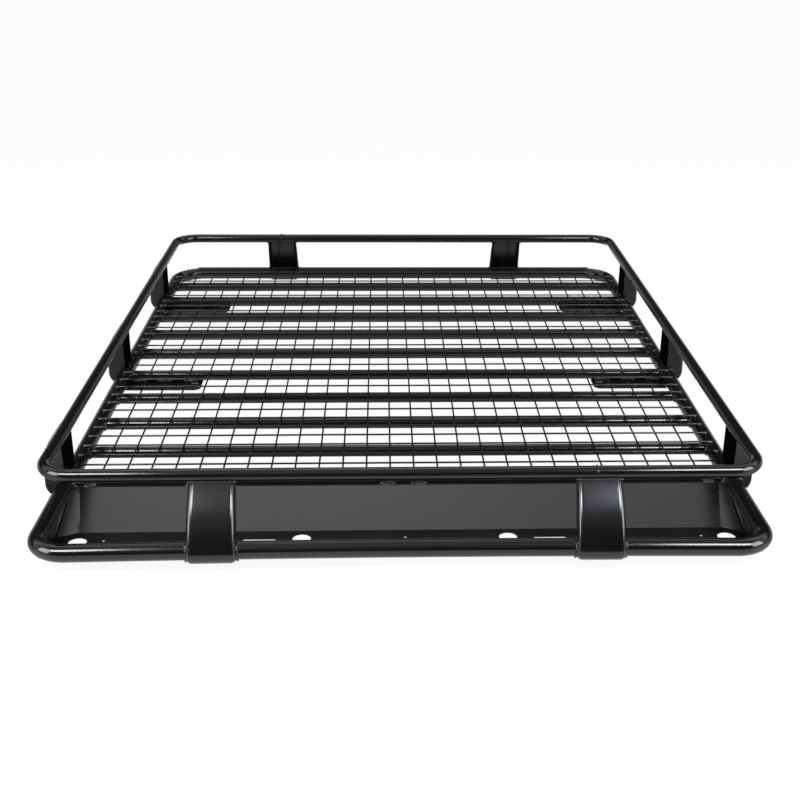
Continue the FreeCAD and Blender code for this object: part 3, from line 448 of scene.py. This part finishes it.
def weld_upright(weld, base, out, along, rail_along, inset, web_top, rail_arc):
    def place(outward, height, offset, direction):
        outer = np.multiply.outer
        return base + outer(outward, out) + outer(height, UP) + outer(offset, direction)

    top_half = upright_half_width(web_top[1])
    for end in (-1, 1):
        # round the frame tube
        angle = np.radians(np.linspace(-84, 82, 40))
        reach = FRAME.radius + 0.0011
        height = reach * np.sin(angle)
        points = place(reach * np.cos(angle), height, end * upright_half_width(height), along)
        weld.bead(points, radius=0.0023, normal=along)
        # a heavier lump high on the tube
        lump = math.radians(float(RNG.uniform(48, 60)))
        reach = FRAME.radius + 0.0012
        weld.blob(place(reach * math.cos(lump), reach * math.sin(lump),
                        end * (upright_half_width(0.0) + 0.0012), along),
                  radius=0.0034, squash=(1.0, 1.0, 0.85))
        # round the rail
        angle = np.radians(np.linspace(*rail_arc, 24))
        reach = RAIL.radius + 0.0008
        height = RISE + reach * np.sin(angle)
        points = place(-inset + reach * np.cos(angle), height,
                       end * (upright_half_width(height) + 0.0004), rail_along)
        weld.bead(points, radius=0.0022, normal=rail_along)
        # a heavier lump where the web's top corner meets the rail
        weld.blob(place(*web_top, end * (top_half - 0.002), along),
                  radius=0.0036, squash=(1.1, 1.1, 0.8))
    # along the web's top edge
    reach = top_half - 0.003
    weld.bead(place(*web_top, np.linspace(-reach, reach, 30), rail_along), radius=0.0021)


def weld_uprights():
    weld = Weld()
    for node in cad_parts:
        if "upright" in node:
            weld_upright(weld, **upright_seat(node))
    weld.build("weld_uprights")


def weld_crossbars():
    """A saddle-shaped bead and three small lumps at each crossbar end."""
    lift = 0.0009                      # bead centre off both tubes
    angle = np.radians(np.linspace(-90, 270, 72))
    reach = BAR_RADIUS + lift
    z = BAR_Z + reach * np.sin(angle)
    face_x = inner_face_x(z, lift, least=1e-8)
    weld = Weld()
    for bar_y in BAR_Y:
        for side in (-1, 1):
            points = np.stack([side * face_x, bar_y + reach * np.cos(angle), z], 1)
            weld.bead(points, radius=0.0023, normal=(side, 0, 0), closed=True)
            for _ in range(3):
                spot = math.radians(float(RNG.uniform(30, 150)))
                x = FRAME.half_x - FRAME.radius - 0.001 - 0.004 * float(RNG.random())
                weld.blob((side * x, bar_y + (BAR_RADIUS + 0.0012) * math.cos(spot),
                           BAR_Z + (BAR_RADIUS + 0.001) * math.sin(spot)), radius=0.0016)
    weld.build("weld_crossbars")


def weld_mesh_tacks(long_wires, cross_wires):
    """Tacks at crosswise wire ends, and on lengthwise wires at each bar and the rear end."""
    sink = 0.0016                      # tack centre below the wire's
    weld = Weld()
    for y, z, left, right in cross_wires:
        for x in (left, right):
            side = 1 if x > 0 else -1
            weld.blob((x - side * 0.0045, y + float(RNG.normal(0, 0.0006)), z - sink),
                      radius=0.0034, squash=(1.5, 1.25, 0.75))
    for x, z, front, rear in long_wires:
        for bar_y in BAR_Y:
            if front < bar_y < rear:
                weld.blob((x, bar_y, z - sink), radius=0.0027, squash=(1.1, 1.5, 0.7))
        weld.blob((x, rear - 0.0008, z - 0.0002), radius=0.0028, squash=(1.0, 1.2, 0.9))
    weld.build("weld_mesh_tacks")


def weld_plates():
    """Mounting plates: beads along the side tube, stitches along the crossbar above."""
    stitches = ((0.508, 0.545), (0.575, 0.612), (0.640, 0.672))     # start and end x
    end_gap, sink, bar_offset, lift = 0.003, 0.0008, 0.0062, 0.0008
    weld = Weld()
    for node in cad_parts:
        if not node.startswith("mounting_plate"):
            continue
        low, high = extent(node)
        side = 1 if low[0] > 0 else -1
        for z in (high[2], low[2]):
            x = side * (inner_face_x(z) - sink)
            weld.bead([(x, low[1] + end_gap, z), (x, high[1] - end_gap, z)], radius=0.0024)
        nearest = min(BAR_Y, key=lambda bar_y: abs(bar_y - (low[1] + high[1]) / 2))
        for flank in (-1, 1):
            y = nearest + flank * bar_offset
            if low[1] < y < high[1]:
                for start, end in stitches:
                    z = high[2] + lift
                    weld.bead([(side * start, y, z), (side * end, y, z)], radius=0.0022)
    weld.build("weld_plates")


def weld_deflector():
    """Stitches under the front crossbar and front tube, beads along the end plates."""
    # x spans of the build-ups, and (y, z) steps of their passes from the slope's edge
    bridges = ((-0.655, -0.630), (-0.447, -0.418), (0.425, 0.450), (0.630, 0.655))
    passes = ((0.0006, 0.0000), (0.0034, 0.0008), (0.0062, 0.0018), (0.0088, 0.0026))
    # stitch centres along the front tube, their half length and how far back they lie
    tube_x = (-0.60, -0.45, -0.28, -0.10, 0.10, 0.28, 0.45, 0.60)
    half_stitch, tube_back = 0.014, 0.0098
    # end plate: corner line from the slope's edge to its low end, welded over these fractions
    corner_top_x, corner_low = 0.6640, (0.6400, -0.7716, 0.0022)
    corner_spans = ((0.02, 0.16), (0.80, 0.99))
    # stitches on the side tube: y spans, height and inset from the tube's centre
    side_spans = ((-0.700, -0.672), (-0.790, -0.758), (-0.850, -0.822))
    side_z, side_inset = 0.0262, 0.0096

    edge_y, edge_z = extent("wind_deflector")[1][1:]
    weld = Weld()
    # short build-ups that bridge the gap between the slope's edge and the crossbar
    for start, end in bridges:
        for back, rise in passes:
            y, z = edge_y + back, edge_z + rise
            weld.bead([(start, y, z), (end, y, z)], radius=0.0027, wander=0.0004)
    for node in ("deflector_tab_left", "deflector_tab_right"):
        low, high = extent(node)
        y, z = high[1:] + 0.0002
        weld.bead([(low[0] + 0.003, y, z), (high[0] - 0.003, y, z)], radius=0.0018)
        for x in (low[0] + 0.0006, high[0] - 0.0006):
            weld.blob((x, high[1] - 0.0022, high[2] - 0.0006),
                      radius=0.0030, squash=(1.0, 1.4, 0.9))
    for x in tube_x:
        y, z = front_run_y(x) + tube_back, FRAME.z - FRAME.radius + 0.0005
        weld.bead([(x - half_stitch, y, z), (x + half_stitch, y, z)],
                  radius=0.0024, wander=0.0004)
    for side in (-1, 1):
        top = np.array([side * corner_top_x, edge_y - 0.0007, edge_z])
        fall = np.array([side * corner_low[0], *corner_low[1:]]) - top
        for start, end in corner_spans:
            weld.bead([top + fall * start, top + fall * end], radius=0.0016)
        x = side * (FRAME.half_x - side_inset)
        for start, end in side_spans:
            weld.bead([(x, start, side_z), (x, end, side_z)], radius=0.0022, wander=0.0004)
        # scattered lumps outwards from the slope's top corner
        for k in range(5):
            weld.blob((side * (0.668 + 0.002 * k),
                       edge_y - 0.003 + float(RNG.normal(0, 0.002)),
                       edge_z + 0.0015 + float(RNG.normal(0, 0.0012))), radius=0.0026)
    weld.build("weld_deflector")


def coat_sheets():
    """The CAD sheet pieces keep their shape and get the sheet coat."""
    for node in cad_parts:
        if "upright" in node or "plate" in node or "deflector" in node:
            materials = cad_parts[node].data.materials
            materials.clear()
            materials.append(COAT_SHEET)


# ------------------------------------------------------------------ studio
# reflected floor brightness from front to back, painted light and shade: dim far out, a painted
# lit band just in front of the basket and painted shade under it: (y, level)
FLOOR_LEVELS = [(-2.0, 0.10), (-1.42, 0.12), (-1.14, 1.20), (-0.95, 1.20), (-0.84, 0.30),
                (-0.58, 0.15), (-0.38, 0.45), (0.9, 0.62)]
FLOOR_REACH = 2.0                     # the levels cover -FLOOR_REACH to FLOOR_REACH
FLOOR_SCALE = 1.5                     # level that a full ramp stands for
FLOOR_SIZE, FLOOR_Z = 60.0, -0.0008
# reflected surround brightness: (degrees from the rear horizon over the top to the front, level)
PITCH_LEVELS = [(0, 0.45), (9, 0.45), (17, 0.05), (36, 0.05), (47, 1.62), (70, 1.75), (80, 0.50),
                (95, 0.50), (111, 0.56), (125, 0.46), (140, 0.30), (154, 0.12), (164, 0.04),
                (180, 0.03)]


def floor_material():
    """Nearly white to the camera with a trace of soft shadow; in reflections it glows with
    painted light and shade along y.
    """
    mat = bpy.data.materials.new("studio_floor")
    sh = Shader(mat)
    place = sh.node("SeparateXYZ", {0: sh.node("NewGeometry", {})["Position"]})
    back = sh.map_range(place["Y"], from_min=-FLOOR_REACH, from_max=FLOOR_REACH)
    # painted floor light and shade along y, seen only in reflections: lit band in front of the
    # basket, shade under it
    lit = sh.ramp(back, [((y + FLOOR_REACH) / (2 * FLOOR_REACH), level / FLOOR_SCALE)
                         for y, level in FLOOR_LEVELS])
    reflected = sh.math("MULTIPLY", lit, FLOOR_SCALE)
    camera_ray = sh.node("LightPath", {})["Is Camera Ray"]
    level = sh.map_range(camera_ray, to_min=reflected, to_max=1.0)
    diffuse = sh.node("BsdfDiffuse", {"Color": (0.9, 0.9, 0.9)})[0]
    glow = sh.node("Emission", {"Color": (1, 1, 1), "Strength": level})[0]
    glow_share = 0.93
    sh.node("OutputMaterial", {0: sh.node("MixShader", {0: glow_share, 1: diffuse, 2: glow})[0]})
    return mat


def build_floor():
    mat = floor_material()
    mesh = bpy.data.meshes.new("studio_floor")
    half = FLOOR_SIZE / 2
    corners = [(x * half, y * half, FLOOR_Z) for x, y in ((-1, -1), (1, -1), (1, 1), (-1, 1))]
    mesh.from_pydata(corners, [], [(0, 1, 2, 3)])
    ob = bpy.data.objects.new("studio_floor", mesh)
    scene.collection.objects.link(ob)
    mesh.materials.append(mat)


def build_world():
    """White to the camera; reflections see a pale back wall, a broad panel and a dim front."""
    world = bpy.data.worlds.new("studio")
    scene.world = world
    sh = Shader(world)
    view = sh.node("SeparateXYZ", {0: sh.node("TexCoord", {})["Generated"]})
    pitch = sh.map_range(sh.math("ARCTAN2", view[2], view[1]), from_min=0.0, from_max=math.pi)
    panels = sh.ramp(pitch, [(degrees / 180.0, level) for degrees, level in PITCH_LEVELS])
    camera_ray = sh.node("LightPath", {})["Is Camera Ray"]
    colour = sh.mix(camera_ray, panels, (1, 1, 1))
    # the panels are brighter near the middle than towards the sides
    offset = sh.math("ADD", view[0], 0.08)
    fall = sh.map_range(sh.math("MULTIPLY", offset, offset),
                        from_min=0.0, from_max=0.075, to_min=1.0, to_max=0.60)
    strength = sh.math("MAXIMUM", fall, camera_ray)
    background = sh.node("Background", {"Color": colour, "Strength": strength})[0]
    sh.node("OutputWorld", {0: background})


def softbox(name, place, target, width, height, level, colour):
    """Rectangular soft light of a given brightness, facing target."""
    light = bpy.data.lights.new(name, "AREA")
    light.shape = "RECTANGLE"
    light.size, light.size_y = width, height
    light.energy = level * math.pi * width * height
    light.color = colour
    light.spread = math.pi
    ob = bpy.data.objects.new(name, light)
    scene.collection.objects.link(ob)
    ob.location = place
    ob.rotation_euler = (Vector(target) - Vector(place)).to_track_quat("-Z", "Y").to_euler()


def build_lights():
    for s, tag in ((-1, "left"), (1, "right")):
        softbox(tag + "_overhead", place=(s * 1.99, -2.54, 2.5), target=(s * 1.99, -0.94, 0.05),
                width=1.8, height=1.0, level=24.0, colour=(0.88, 0.94, 1.0))
        softbox(tag + "_side", place=(s * 3.0, -1.9, 1.35), target=(s * 0.6, -0.9, 0.15),
                width=1.6, height=1.9, level=9.0, colour=(0.90, 0.95, 1.0))


def build_camera():
    """Camera in front of the basket, looking back and down."""
    yaw, pitch, roll = (math.radians(a) for a in (2.50063, 19.9501, 0.67576))
    place = (-0.04310, -2.99516, 1.18089)
    forward = Vector((math.sin(yaw) * math.cos(pitch), math.cos(yaw) * math.cos(pitch),
                      -math.sin(pitch)))
    level_right = Vector((math.cos(yaw), -math.sin(yaw), 0))
    level_up = level_right.cross(forward)
    right = level_right * math.cos(roll) + level_up * math.sin(roll)
    top = -level_right * math.sin(roll) + level_up * math.cos(roll)
    data = bpy.data.cameras.new("camera")
    cam = bpy.data.objects.new("camera", data)
    scene.collection.objects.link(cam)
    matrix = Matrix.Identity(4)
    for i in range(3):
        matrix[i] = (right[i], top[i], -forward[i], place[i])
    cam.matrix_world = matrix
    data.sensor_width = 36.0
    data.sensor_fit = "HORIZONTAL"
    data.lens = 56.20203
    data.shift_x, data.shift_y = -0.0406875, -0.0562
    data.clip_start, data.clip_end = 0.05, 100
    scene.camera = cam


# ------------------------------------------------------------------ build
build_rings()
build_crossbars()
long_wires = build_wires("floor_wires_lengthwise", "mesh_long_wires", along=1)
cross_wires = build_wires("floor_wires_crosswise", "mesh_cross_wires", along=0)
weld_ring_joints()
weld_uprights()
weld_crossbars()
weld_mesh_tacks(long_wires, cross_wires)
weld_plates()
weld_deflector()
coat_sheets()
build_floor()
build_world()
build_lights()
build_camera()
scene.view_settings.view_transform = "Standard"
scene.view_settings.look = "None"
scene.view_settings.exposure = 0.0
scene.view_settings.gamma = 1.0
